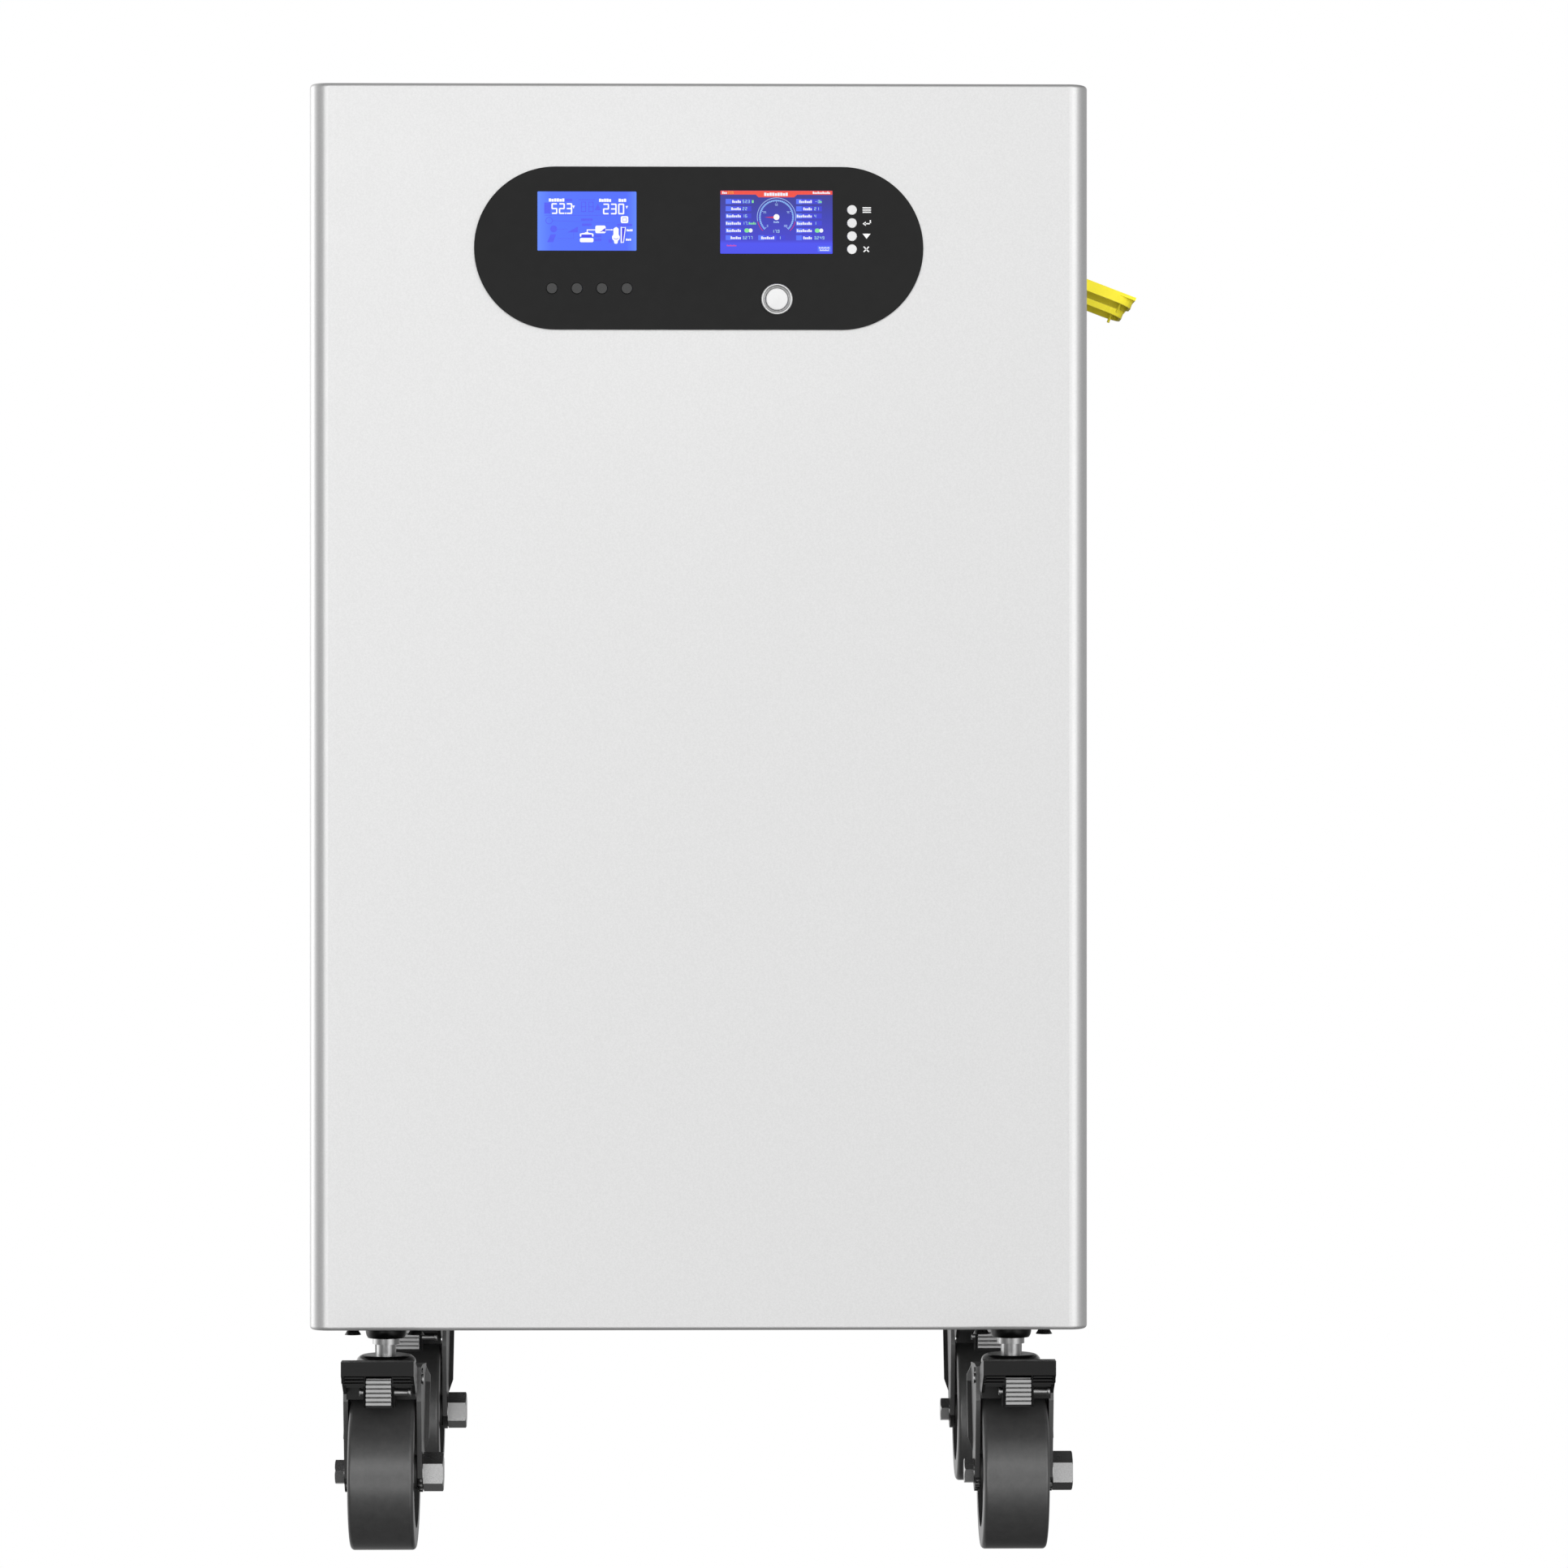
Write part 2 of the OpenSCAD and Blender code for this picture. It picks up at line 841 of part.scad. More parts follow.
// Places one caster's piece; a caster is drawn with its kingpin on the origin.
module at_caster(i) {
    translate(shift)
        translate([caster_at[i][0], caster_at[i][1], 0])
            children();
}

// Fixed top plates, each with the raceway cup that hangs below it.
module caster_plates() {
    bottom = plate_top - plate_t;
    color([0.12, 0.12, 0.12])
        translate(shift)
            difference() {
                each_caster() {
                    translate([0, 0, bottom])
                        linear_extrude(plate_t - 0.02)
                            rounded(plate_w, plate_w, 6);
                    rotate_extrude()
                        union() {
                            translate([0, bottom - 3.2])
                                square([13.3, 3.2 + eps]);
                            intersection() {
                                translate([6.3, bottom - 3.2])
                                    circle(r = 7);
                                translate([0, cup_bottom])
                                    square([20, bottom - cup_bottom]);
                            }
                            translate([0, cup_bottom])
                                square([7.5, bottom - cup_bottom]);
                        }
                }
                each_caster()
                    translate([0, 0, cup_bottom - 1])
                        cylinder(h = 20, r = stem_r + 0.1);
                each_screw()
                    cylinder(h = 400, r = 3.4, center = true);
            }
}

module caster_screws() {
    bottom = plate_top - plate_t;
    color([0.05, 0.05, 0.05])
        translate(shift)
            each_screw() {
                translate([0, 0, bottom - eps])
                    cylinder(h = plate_top + 8 - bottom, r = 3.25);
                translate([0, 0, bottom - 3.5])
                    difference() {
                        cylinder(h = 3.5, r1 = 5.35, r2 = 3.25);
                        translate([0, 0, -1])
                            cylinder(h = 3, r = 2.2, $fn = 6);
                    }
            }
}

module caster_kingpins() {
    color([0.65, 0.65, 0.67])
        translate(shift)
            each_caster() {
                translate([0, 0, crown_top - crown_t - 6])
                    cylinder(h = plate_top + 2 - crown_top + crown_t + 6, r = stem_r);
                translate([0, 0, collar_bottom])
                    cylinder(h = cup_bottom - collar_bottom - 0.02, r = 8.8);
                translate([0, 0, crown_top - crown_t - 6])
                    cylinder(h = 5.6, r = 10.5);
            }
}

// Domed caps that close each swivel bearing from above, fixed on the kingpins.
module caster_dust_caps() {
    bottom = crown_top + 0.4;
    color([0.04, 0.04, 0.04])
        translate(shift)
            each_caster()
                rotate_extrude()
                    difference() {
                        union() {
                            translate([0, bottom])
                                square([14.35, 7.2]);
                            translate([14, bottom])
                                square([5.35, 2.2]);
                            intersection() {
                                translate([14.35, bottom + 2.2])
                                    circle(r = 5);
                                translate([14, bottom + 2])
                                    square(6);
                            }
                        }
                        translate([-1, bottom - 1])
                            square([stem_r + 0.1 + 1, 10]);
                        translate([0, bottom - 1])
                            square([15, 5.6]);
                    }
}

// Side outline of a fork leg in Y and Z, from the crown to the round foot at the axle.
leg_foot = [-trail, wheel_r];
leg_rear_corner = [leg_back, 104];
leg_rear_touch = touch(leg_rear_corner, leg_foot, leg_foot_r, -1);

module leg_outline() {
    front = [leg_front, 98];
    polygon([[leg_front, leg_top], [leg_front + 18, leg_top], [leg_back, crown_top], leg_rear_corner,
             leg_rear_touch, touch(front, leg_foot, leg_foot_r, 1), front]);
    translate(leg_foot)
        circle(r = leg_foot_r);
}

// Flange bent outwards along the rear edge of the right leg.
module leg_flange() {
    half = fork_w / 2;
    flare = 2.8;
    top = 114;
    thick = 3;
    low = leg_rear_corner + 0.72 * (leg_rear_touch - leg_rear_corner);
    intersection() {
        plate_x(half - 1, half + flare)
            polygon([[leg_back, top], leg_rear_corner, low, low - [thick, 0],
                     leg_rear_corner - [thick, 0], [leg_back - thick, top]]);
        plate_y(-60, 40)
            polygon([[half - 1, low[1]], [half, low[1]], [half + flare, low[1] + 8],
                     [half + flare, top - 6], [half + flare - 2, top - 2], [half, top], [half - 1, top]]);
    }
}

module caster_fork(i) {
    half = fork_w / 2;
    color([0.35, 0.35, 0.36])
        at_caster(i)
            difference() {
                union() {
                    for (x = [half - leg_t, -half])
                        plate_x(x, x + leg_t)
                            leg_outline();
                    translate([-half + 1, leg_front + 14, crown_top - crown_t])
                        cube([fork_w - 2, leg_back - leg_front - 14, crown_t]);
                    for (s = [0, 1])
                        mirror([s, 0, 0]) {
                            leg_flange();
                            for (p = [[-36, 117], [-30, 109]])
                                translate([0, p[0], p[1]])
                                    rod_x(half - 1, half + 0.8, 1.6);
                        }
                }
                translate([0, 0, 100])
                    cylinder(h = 40, r = stem_r + fit);
                translate([0, -trail, wheel_r])
                    rod_x(-60, 60, axle_r + 0.1);
                translate([0, pedal_pivot[0], pedal_pivot[1]])
                    rod_x(-60, 60, pedal_pin_r + 0.1);
            }
}

module caster_tyre(i) {
    r = 2.5;
    color([0.2, 0.2, 0.2])
        at_caster(i)
            translate([0, -trail, wheel_r])
                rotate([0, 90, 0])
                    rotate_extrude($fn = 128) {
                        translate([tyre_bore_r, -wheel_w / 2])
                            square([wheel_r - r - tyre_bore_r, wheel_w]);
                        translate([tyre_bore_r, -wheel_w / 2 + r])
                            square([wheel_r - tyre_bore_r, wheel_w - 2 * r]);
                        for (s = [-1, 1])
                            translate([wheel_r - r, s * (wheel_w / 2 - r)])
                                circle(r = r);
                    }
}

// Wheel centre: rim, web with ribs, and the boss on the axle.
module caster_hub(i) {
    rim_w = wheel_w - 6;
    boss_w = wheel_w + 1;
    bore = axle_r + fit;
    color([0.16, 0.16, 0.16])
        at_caster(i)
            translate([0, -trail, wheel_r])
                rotate([0, 90, 0])
                    difference() {
                        union() {
                            rotate_extrude() {
                                translate([tyre_bore_r - 5, -rim_w / 2])
                                    square([5 - 0.02, rim_w]);
                                translate([bore, -5])
                                    square([tyre_bore_r - bore - 1, 10]);
                                translate([bore, -boss_w / 2])
                                    square([11 - bore, boss_w]);
                            }
                            for (a = [0:60:300])
                                rotate(a)
                                    translate([9, -1.5, -rim_w / 2 + 4])
                                        cube([tyre_bore_r - 12, 3, rim_w - 8]);
                        }
                        cylinder(h = 100, r = bore, center = true);
                    }
}

// A caster's axle bolt and nut, and the pin that its pedal turns on.
module caster_bolts(i) {
    half = fork_w / 2;
    color([0.25, 0.25, 0.26])
        at_caster(i) {
            translate([0, -trail, wheel_r]) {
                rod_x(-half - 4, half + eps, axle_r);
                rod_x(half, half + 0.6, 11.5);
                hex_x(half + 0.5, half + 13.3, 25.4);
                rod_x(-half - 0.6, -half, 8.2);
                rotate([18, 0, 0])
                    difference() {
                        hex_x(-half - 0.5, -half - 6.5, 17);
                        rod_x(-half - 5, -half + 1, axle_r + 0.05);
                    }
            }
            translate([0, pedal_pivot[0], pedal_pivot[1]]) {
                rod_x(-half - 0.1, half + 0.1, pedal_pin_r);
                for (s = [0, 1])
                    mirror([s, 0, 0])
                        rod_x(half, half + 1.4, pedal_pin_r + 1.2);
            }
        }
}

// Height of a pedal's upper face at a distance y from the kingpin.
function pedal_z(y) = pedal_top - max(0, y + pedal_reach - pedal_level) * pedal_fall;

// Pressed brake pedal: top, front lip, side tabs in line with the fork legs, grip shelves
// under the lip, ears on the pivot pin, a web and the carrier of the brake block.
module caster_pedal(i) {
    half = pedal_w / 2;
    front = -pedal_reach;
    tab_back = leg_front - pedal_relief;
    back = leg_front + 7;
    inner = fork_w / 2 - leg_t - 1.4;
    ear_out = half - 3.4;
    carrier_out = 9.8;
    wall_y = -82;
    t = 2;
    color([0.14, 0.14, 0.14])
        at_caster(i)
            difference() {
                union() {
                    plate_x(-half, half)
                        polygon([[front, pedal_top], [front + pedal_level, pedal_top], [tab_back, pedal_z(tab_back)],
                                 [tab_back, pedal_z(tab_back) - t], [front + pedal_level, pedal_top - t],
                                 [front, pedal_top - t]]);
                    plate_x(-inner, inner)
                        polygon([[tab_back - 1, pedal_z(tab_back - 1)], [back, pedal_z(back)],
                                 [back, pedal_z(back) - t], [tab_back - 1, pedal_z(tab_back - 1) - t]]);
                    translate([-half, front, pedal_lip_bottom])
                        cube([pedal_w, 2.5, pedal_top - pedal_lip_bottom]);
                    translate([-half + 1, -60, 101])
                        cube([pedal_w - 2, t, pedal_z(-58) - 102]);
                    for (s = [0, 1])
                        mirror([s, 0, 0]) {
                            plate_x(half - t, half)
                                polygon([[front, pedal_top - 1], [front, pedal_lip_bottom], [front + 26, pedal_tab_bottom],
                                         [tab_back, pedal_tab_bottom], [tab_back, pedal_z(tab_back) - 1],
                                         [front + pedal_level, pedal_top - 1]]);
                            for (k = [0:2])
                                translate([carrier_out - 0.8, front + 4 + 3.5 * k, 117.9 - 2.4 * k])
                                    cube([half - carrier_out, wall_y + 1 - front - 4 - 3.5 * k, 1.1]);
                            translate([carrier_out - 0.8, wall_y, 111])
                                cube([half - carrier_out, t, pedal_z(wall_y + t) - 112]);
                            plate_x(ear_out - t, ear_out)
                                polygon([[-62, pedal_z(-62) - 1], [-62, 114], [-44, 105], [-36, 107],
                                         [-35, 113], [back, pedal_z(back) - 1]]);
                            translate([ear_out - 0.1, -62, 112])
                                cube([2, 12, pedal_z(-50) - 113]);
                            plate_x(carrier_out - 1.5, carrier_out)
                                polygon([[-84, pedal_z(-84) - 1], [-84, 112], [-80, 98], [-62, 98],
                                         [-56, pedal_z(-56) - 1]]);
                        }
                    translate([-carrier_out, -72, 96.8])
                        cube([2 * carrier_out, 12, 3]);
                }
                translate([0, pedal_pivot[0], pedal_pivot[1]])
                    rod_x(-60, 60, pedal_pin_r + fit);
                translate([0, -80, 107.9])
                    rod_x(-15, 15, 2.2);
            }
}

// Ridged brake block held between the pedal's inner plates, with its cross pin.
module caster_brake_block(i) {
    ridges = 6;
    pitch = 2.8;
    color([0.65, 0.65, 0.65])
        at_caster(i) {
            translate([-8, -82.4, 100])
                cube([16, 16.4, ridges * pitch]);
            for (k = [0:ridges - 1])
                translate([-8, -86.5, 100 + k * pitch])
                    cube([16, 4.2, pitch - 0.9]);
            translate([0, -80, 107.9]) {
                rod_x(-11.4, 18.6, 2.1);
                rod_x(18.4, 20.2, 2.7);
                rod_x(-12.4, -11.2, 2.6);
            }
        }
}

// ---------- drawing ----------

cabinet_shell();
base_pan();
rear_cover();
cover_screws();
control_panel();
inverter_display();
battery_display();
power_bezel();
power_button();
outlet_sockets();
flap_hinge_pins();
battery_racks();
battery_cells();
cell_busbars();
battery_cables();
bms_board();
inverter_module();
main_fuse();
fan_frame();
fan_rotor();
cable_grommet();
caster_plates();
caster_screws();
caster_kingpins();
caster_dust_caps();
for (i = [0:3]) {
    menu_button(i);
    setting_button(i);
    caster_fork(i);
    caster_tyre(i);
    caster_hub(i);
    caster_bolts(i);
    caster_pedal(i);
    caster_brake_block(i);
}
for (i = [0:1])
    outlet_flap(i);
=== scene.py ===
"""Looks of the battery storage cabinet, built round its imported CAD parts. Metres, +Z up, front facing -Y."""

import math

import bmesh
import bpy
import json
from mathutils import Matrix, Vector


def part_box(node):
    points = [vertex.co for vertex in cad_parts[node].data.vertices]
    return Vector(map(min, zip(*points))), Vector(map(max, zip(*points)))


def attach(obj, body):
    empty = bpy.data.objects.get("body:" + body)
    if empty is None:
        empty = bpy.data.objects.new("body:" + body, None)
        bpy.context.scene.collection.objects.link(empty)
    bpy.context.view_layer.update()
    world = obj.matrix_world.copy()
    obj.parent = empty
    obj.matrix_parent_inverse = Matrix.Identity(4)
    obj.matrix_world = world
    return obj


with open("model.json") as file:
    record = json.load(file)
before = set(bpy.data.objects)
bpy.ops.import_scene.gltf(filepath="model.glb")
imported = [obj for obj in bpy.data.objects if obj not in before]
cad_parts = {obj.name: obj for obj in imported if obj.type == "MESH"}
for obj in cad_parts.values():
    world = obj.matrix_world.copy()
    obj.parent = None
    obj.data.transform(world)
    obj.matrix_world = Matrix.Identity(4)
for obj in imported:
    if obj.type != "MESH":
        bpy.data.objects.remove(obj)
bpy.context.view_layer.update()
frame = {"nodes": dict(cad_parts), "record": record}

MM = 0.001
NODES = frame["nodes"]

# ---------- places taken from the frame ----------

SHELL_LO, SHELL_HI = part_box("cabinet_shell")
PANEL_LO, PANEL_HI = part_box("control_panel")
CENTRE_X = (SHELL_LO.x + SHELL_HI.x) / 2
PANEL_X = (PANEL_LO.x + PANEL_HI.x) / 2
PANEL_Z = (PANEL_LO.z + PANEL_HI.z) / 2
PANEL_FRONT = PANEL_LO.y

KEY_POWER = 122                     # watts
KEY_SIZE, KEY_DISTANCE, KEY_HEIGHT = 3.0, 4.4, 0.9     # metres
CAMERA_DISTANCE, CAMERA_HEIGHT = 3.487, 0.494          # metres, from the front and above the floor
CAMERA_TURN = 0.898                 # degrees, to its right
CAMERA_LENS, CAMERA_SENSOR = 124.8, 36                 # millimetres
FLOOR_RADIUS, DOME_RADIUS = 12, 14  # metres
WELD_DISTANCE = 0.000002            # metres, to join the corners that a CAD part's triangles share
FLAT_ANGLE = math.radians(0.5)      # faces closer than this to one plane become one face
SHARP_ANGLE = math.radians(35)      # edges sharper than this are rounded
GRAIN_DEPTH = 0.0002                # metres, of the materials' bumps
MARK_THICKNESS = 0.025 * MM         # of the marks in a flat drawing
MARK_STEP = 0.03 * MM               # from one layer of drawings to the next
# Middle and size of each display window, from the panel's middle, in millimetres.
LCD_AT, LCD_SIZE = (-71.7, 17.3), (63.5, 38.0)
TFT_AT, TFT_SIZE = (49.8, 16.8), (72.1, 40.6)


# ---------- colour and materials ----------

def linear(r, g, b):
    """A screen colour, each channel 0 to 255, as the linear colour that shaders use."""
    def channel(v):
        v /= 255
        return v / 12.92 if v <= 0.04045 else ((v + 0.055) / 1.055) ** 2.4
    return (channel(r), channel(g), channel(b), 1)


class Nodes:
    """Short helpers to add nodes to a node tree."""

    def __init__(self, tree):
        self.tree = tree

    def add(self, kind, links=None, settings=None, **sockets):
        node = self.tree.nodes.new(kind)
        for key, value in (settings or {}).items():
            setattr(node, key, value)
        for key, value in sockets.items():
            node.inputs[key.replace("_", " ")].default_value = value
        for key, source in (links or {}).items():
            self.tree.links.new(source, node.inputs[key])
        return node

    def ramp(self, fac, *stops):
        """A colour ramp through (position, colour) stops."""
        node = self.add("ShaderNodeValToRGB", {"Fac": fac})
        ramp = node.color_ramp
        while len(ramp.elements) < len(stops):
            ramp.elements.new(0.5)
        for element, (position, colour) in zip(ramp.elements, stops):
            element.position = position
            element.color = colour
        return node.outputs["Color"]

    def spread(self, fac, low, high, start=0.0, end=1.0):
        """Maps a pattern that runs from start to end to the range low to high."""
        return self.add("ShaderNodeMapRange", {"Value": fac}, From_Min=start, From_Max=end,
                        To_Min=low, To_Max=high).outputs["Result"]


class Material(Nodes):
    """A node material with its Principled shader ready."""

    def __init__(self, name, **sockets):
        self.data = bpy.data.materials.new(name)
        self.data.use_nodes = True
        super().__init__(self.data.node_tree)
        self.shader = self.tree.nodes["Principled BSDF"]
        for key, value in sockets.items():
            self.shader.inputs[key.replace("_", " ")].default_value = value

    def link(self, source, socket):
        self.tree.links.new(source, self.shader.inputs[socket])

    def place(self):
        """The object's own coordinates, in metres."""
        return self.add("ShaderNodeTexCoord").outputs["Object"]

    def noise(self, scale, detail=3.0, roughness=0.6, stretch=None):
        """A noise pattern from 0 to 1; scale is in cycles per metre."""
        vector = self.place()
        if stretch:
            mapping = self.add("ShaderNodeMapping", {"Vector": vector})
            mapping.inputs["Scale"].default_value = stretch
            vector = mapping.outputs["Vector"]
        return self.add("ShaderNodeTexNoise", {"Vector": vector}, Scale=scale, Detail=detail,
                        Roughness=roughness).outputs["Fac"]

    def bump(self, height, strength, distance):
        node = self.add("ShaderNodeBump", {"Height": height}, Strength=strength, Distance=distance)
        self.link(node.outputs["Normal"], "Normal")


def grey(v):
    return linear(v, v, v)


def shade(colour, factor):
    """A linear colour made darker by a factor."""
    return (colour[0] * factor, colour[1] * factor, colour[2] * factor, 1)


def powder_coat():
    """Light grey metallic powder coat with a fine texture."""
    m = Material("powder_coat", Metallic=0.65)
    fine = m.noise(900, 4, 0.65)
    m.link(m.ramp(fine, (0.35, grey(200)), (0.65, grey(207))), "Base Color")
    m.link(m.spread(m.noise(60, 3), 0.3, 0.36), "Roughness")
    m.bump(fine, 0.1, GRAIN_DEPTH)
    return m.data


def moulded(name, colour, roughness, grain=2500, depth=0.05, tint=0.9, coat=0.0, specular=0.5):
    """Moulded plastic with a fine grain and a slight variation in tone."""
    m = Material(name, Coat_Weight=coat, Coat_Roughness=0.08, Specular_IOR_Level=specular)
    dark = shade(colour, tint)
    m.link(m.ramp(m.noise(25, 3), (0.35, dark), (0.65, colour)), "Base Color")
    m.link(m.spread(m.noise(140, 4), roughness - 0.05, roughness + 0.05), "Roughness")
    m.bump(m.noise(grain, 2), depth, GRAIN_DEPTH)
    return m.data


def metal(name, colour, roughness, stretch=(1, 1, 1), grain=900, depth=0.05, metallic=1.0):
    """Bare or coated metal with brush marks along the least stretched axis."""
    m = Material(name, Metallic=metallic)
    dark = shade(colour, 0.82)
    marks = m.noise(grain, 4, 0.7, stretch)
    m.link(m.ramp(marks, (0.3, dark), (0.7, colour)), "Base Color")
    m.link(m.spread(m.noise(70, 4), roughness - 0.06, roughness + 0.08), "Roughness")
    m.bump(marks, depth, GRAIN_DEPTH)
    return m.data


def glowing(name, colour, strength=1.0):
    """A lit mark on a display."""
    m = Material(name, Base_Color=(0, 0, 0, 1), Roughness=0.3, Specular_IOR_Level=0.2)
    m.shader.inputs["Emission Strength"].default_value = strength
    flicker = m.noise(700, 1)
    m.link(m.ramp(flicker, (0.3, shade(colour, 0.94)), (0.7, colour)), "Emission Color")
    return m.data


def backlight(name, stops, axis, panel_middle, at, size):
    """A lit display background whose colour runs through stops along one axis, across a window."""
    m = Material(name, Base_Color=(0, 0, 0, 1), Roughness=0.2, Specular_IOR_Level=0.3)
    m.shader.inputs["Emission Strength"].default_value = 1.0
    parts = m.add("ShaderNodeSeparateXYZ", {"Vector": m.place()})
    low, high = panel_middle + (at - size / 2) * MM, panel_middle + (at + size / 2) * MM
    fac = m.add("ShaderNodeMapRange", {"Value": parts.outputs[axis]},
                From_Min=low, From_Max=high).outputs["Result"]
    m.link(m.ramp(fac, *stops), "Emission Color")
    return m.data


def tyre_rubber():
    """Charcoal wheel tread with a soft sheen, slightly scuffed."""
    m = Material("tyre_rubber", Metallic=0.6)
    scuff = m.noise(180, 5, 0.7)
    m.link(m.ramp(scuff, (0.3, grey(83)), (0.7, grey(91))), "Base Color")
    m.link(m.spread(scuff, 0.27, 0.33), "Roughness")
    m.bump(m.noise(1400, 3), 0.06, GRAIN_DEPTH)
    return m.data


YELLOW = linear(255, 240, 62)
BLACK = grey(40)
# Colours across the segment display, left to right, and up the colour display.
LCD_BLUES = [(0.0, linear(100, 140, 255)), (0.14, linear(84, 116, 252)),
             (0.9, linear(80, 108, 252)), (1.0, linear(96, 136, 255))]
SCREEN_BLUES = [(0.0, linear(74, 80, 236)), (0.16, linear(76, 82, 240)), (0.22, linear(70, 68, 206)),
                (0.6, linear(60, 64, 180)), (1.0, linear(60, 60, 138))]

MATERIALS = {
    "powder_coat": powder_coat(),
    "panel_film": moulded("panel_film", grey(17), 0.5, grain=3500, depth=0.03, specular=0.25),
    "lcd_glass": backlight("lcd_backlight", LCD_BLUES, "X", PANEL_X, LCD_AT[0], LCD_SIZE[0]),
    "screen_glass": backlight("screen_backlight", SCREEN_BLUES, "Z", PANEL_Z, TFT_AT[1], TFT_SIZE[1]),
    "chrome_ring": metal("chrome_ring", grey(240), 0.36, grain=300, depth=0.01),
    "white_cap": moulded("white_cap", grey(215), 0.35, coat=0.3),
    "grey_cap": moulded("grey_cap", grey(58), 0.45, specular=0.3),
    "yellow_plastic": moulded("yellow_plastic", YELLOW, 0.55, tint=0.95, specular=0.2),
    "black_plastic": moulded("black_plastic", BLACK, 0.45),
    "plated_steel": metal("plated_steel", grey(190), 0.34, stretch=(1, 1, 6)),
    "galvanised_steel": metal("galvanised_steel", grey(190), 0.5, grain=60, depth=0.02),
    "cell_wrap": moulded("cell_wrap", linear(40, 86, 170), 0.3, coat=0.4),
    "copper": metal("copper", linear(214, 134, 92), 0.32, stretch=(1, 6, 1)),
    "cable_rubber": moulded("cable_rubber", linear(170, 30, 30), 0.5),
    "circuit_board": moulded("circuit_board", linear(20, 92, 50), 0.35, coat=0.3),
    "heat_sink": metal("heat_sink", grey(190), 0.42, stretch=(6, 6, 1)),
    "black_rubber": moulded("black_rubber", grey(36), 0.7),
    "caster_paint": moulded("caster_paint", grey(9), 0.3, specular=0.25),
    "black_steel": metal("black_steel", grey(178), 0.26),
    "gloss_black": moulded("gloss_black", grey(14), 0.16, coat=0.5),
    "caster_steel": metal("caster_steel", grey(100), 0.38, metallic=0.9),
    "wheel_tread": tyre_rubber(),
    "wheel_centre": moulded("wheel_centre", grey(58), 0.5),
    "brake_alloy": metal("brake_alloy", grey(172), 0.36, stretch=(1, 6, 6)),
}

for row in frame["record"]["subparts"]:
    NODES[row["node"]].data.materials.clear()
    NODES[row["node"]].data.materials.append(MATERIALS[row["material_slot"]])


# ---------- rounded edges on the CAD parts ----------

def soften(node, width_mm):
    """Rounds a CAD node's sharp edges with modifiers, leaving its mesh as it is."""
    part = NODES[node]
    weld = part.modifiers.new("weld", "WELD")
    weld.merge_threshold = WELD_DISTANCE
    flat = part.modifiers.new("flat", "DECIMATE")
    flat.decimate_type = "DISSOLVE"
    flat.angle_limit = FLAT_ANGLE
    bevel = part.modifiers.new("bevel", "BEVEL")
    bevel.width = width_mm * MM
    bevel.segments = 2
    bevel.limit_method = "ANGLE"
    bevel.angle_limit = SHARP_ANGLE
    bevel.harden_normals = True


# Edge width of each softened part, in millimetres.
SOFT_EDGES = {"control_panel": 0.5, "power_button": 0.4, "outlet_sockets": 0.4, "cable_grommet": 0.6}
for n in range(1, 5):
    SOFT_EDGES[f"menu_button_{n}"] = 0.5
    SOFT_EDGES[f"setting_button_{n}"] = 0.5
    SOFT_EDGES[f"caster_pedal_{n}"] = 0.6
    SOFT_EDGES[f"caster_brake_block_{n}"] = 0.2
    SOFT_EDGES[f"caster_fork_{n}"] = 0.25
    SOFT_EDGES[f"caster_bolts_{n}"] = 0.3
for n in range(1, 3):
    SOFT_EDGES[f"outlet_flap_{n}"] = 0.3
for node, width in SOFT_EDGES.items():
    soften(node, width)


# ---------- flat drawings on the panel and its displays ----------

# Lit segments of each digit: a along the top, then clockwise to f, and g across the middle.
SEGMENTS = {"0": "abcdef", "1": "bc", "2": "abged", "3": "abgcd", "4": "fgbc", "5": "afgcd",
            "6": "afgedc", "7": "abc", "8": "abcdefg", "9": "abfgcd", "-": "g"}


def polar(x, y, radius, angle):
    """The point at a distance and an angle in radians from x, y."""
    return (x + radius * math.cos(angle), y + radius * math.sin(angle))


